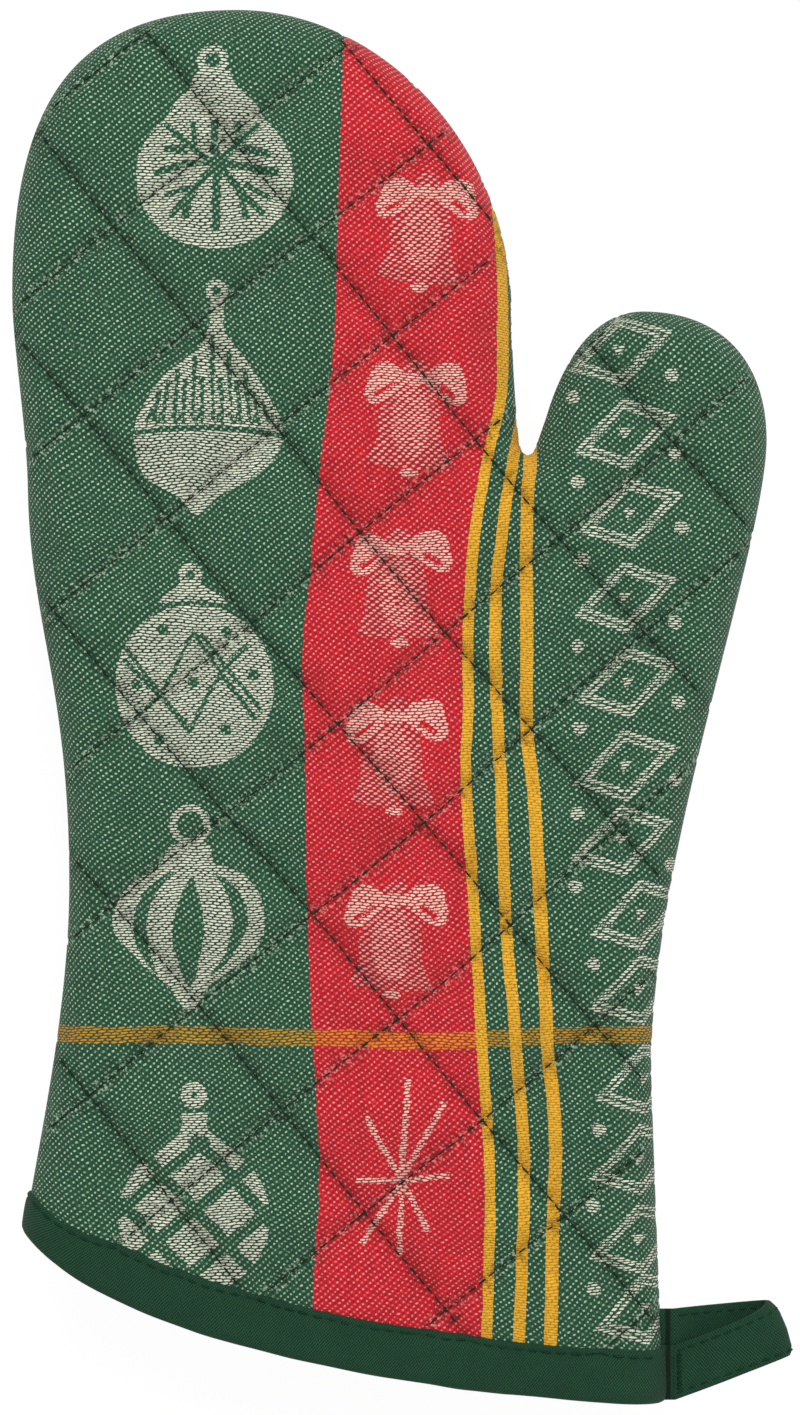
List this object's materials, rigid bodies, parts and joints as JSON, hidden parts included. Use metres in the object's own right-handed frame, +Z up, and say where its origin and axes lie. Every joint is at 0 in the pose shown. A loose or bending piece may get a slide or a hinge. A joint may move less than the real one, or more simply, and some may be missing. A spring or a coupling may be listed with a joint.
{
  "type": "oven mitt",
  "caption": "Quilted fabric oven mitt with a thumb, bound cuff and side hanging loop; the finger pocket, thumb and loop fold.",
  "frame": {"origin": "on the supporting surface, under the middle of the bounding box of the mitt as it lies on its back", "axes": "+Y towards the fingertips, +X towards the thumb side, +Z up through the front"},
  "size_m": [0.184, 0.3299, 0.0232],
  "materials": {
    "printed_cotton": "matt printed cotton",
    "batting": "soft matt fleece",
    "lining_cloth": "matt plain weave",
    "quilting_thread": "matt thread",
    "binding_tape": "matt twill",
    "binding_thread": "matt thread"
  },
  "bodies": {
    "hand": {"front_shell_hand": "printed_cotton", "front_batting_hand": "batting", "front_lining_hand": "lining_cloth", "front_quilting_hand": "quilting_thread", "back_shell_hand": "printed_cotton", "back_batting_hand": "batting", "back_lining_hand": "lining_cloth", "back_quilting_hand": "quilting_thread", "seam_overlock_hand": "lining_cloth", "cuff_binding": "binding_tape", "binding_topstitch": "binding_thread"},
    "fingers": {"front_shell_fingers": "printed_cotton", "front_batting_fingers": "batting", "front_lining_fingers": "lining_cloth", "front_quilting_fingers": "quilting_thread", "back_shell_fingers": "printed_cotton", "back_batting_fingers": "batting", "back_lining_fingers": "lining_cloth", "back_quilting_fingers": "quilting_thread", "seam_overlock_fingers": "lining_cloth"},
    "thumb": {"front_shell_thumb": "printed_cotton", "front_batting_thumb": "batting", "front_lining_thumb": "lining_cloth", "front_quilting_thumb": "quilting_thread", "back_shell_thumb": "printed_cotton", "back_batting_thumb": "batting", "back_lining_thumb": "lining_cloth", "back_quilting_thumb": "quilting_thread", "seam_overlock_thumb": "lining_cloth"},
    "loop": {"hanging_loop": "binding_tape", "loop_edge_stitch": "binding_thread", "loop_bar_tack": "binding_thread"}
  },
  "joints": [
    {"name": "finger_fold", "type": "hinge", "parent": "hand", "child": "fingers", "pos_m": [-0.032, 0.078, 0.0116], "axis": [1, 0, 0], "range_deg": [-15, 60], "stiffness_Nm_per_rad": 0.03},
    {"name": "thumb_fold", "type": "hinge", "parent": "hand", "child": "thumb", "pos_m": [0.0304, 0.0596, 0.0116], "axis": [0.6112, -0.7915, 0], "range_deg": [-15, 50], "stiffness_Nm_per_rad": 0.02},
    {"name": "loop_swing", "type": "hinge", "parent": "hand", "child": "loop", "pos_m": [0.065, -0.1535, 0.0116], "axis": [0, 1, 0], "range_deg": [-75, 75], "stiffness_Nm_per_rad": 0.002}
  ]
}
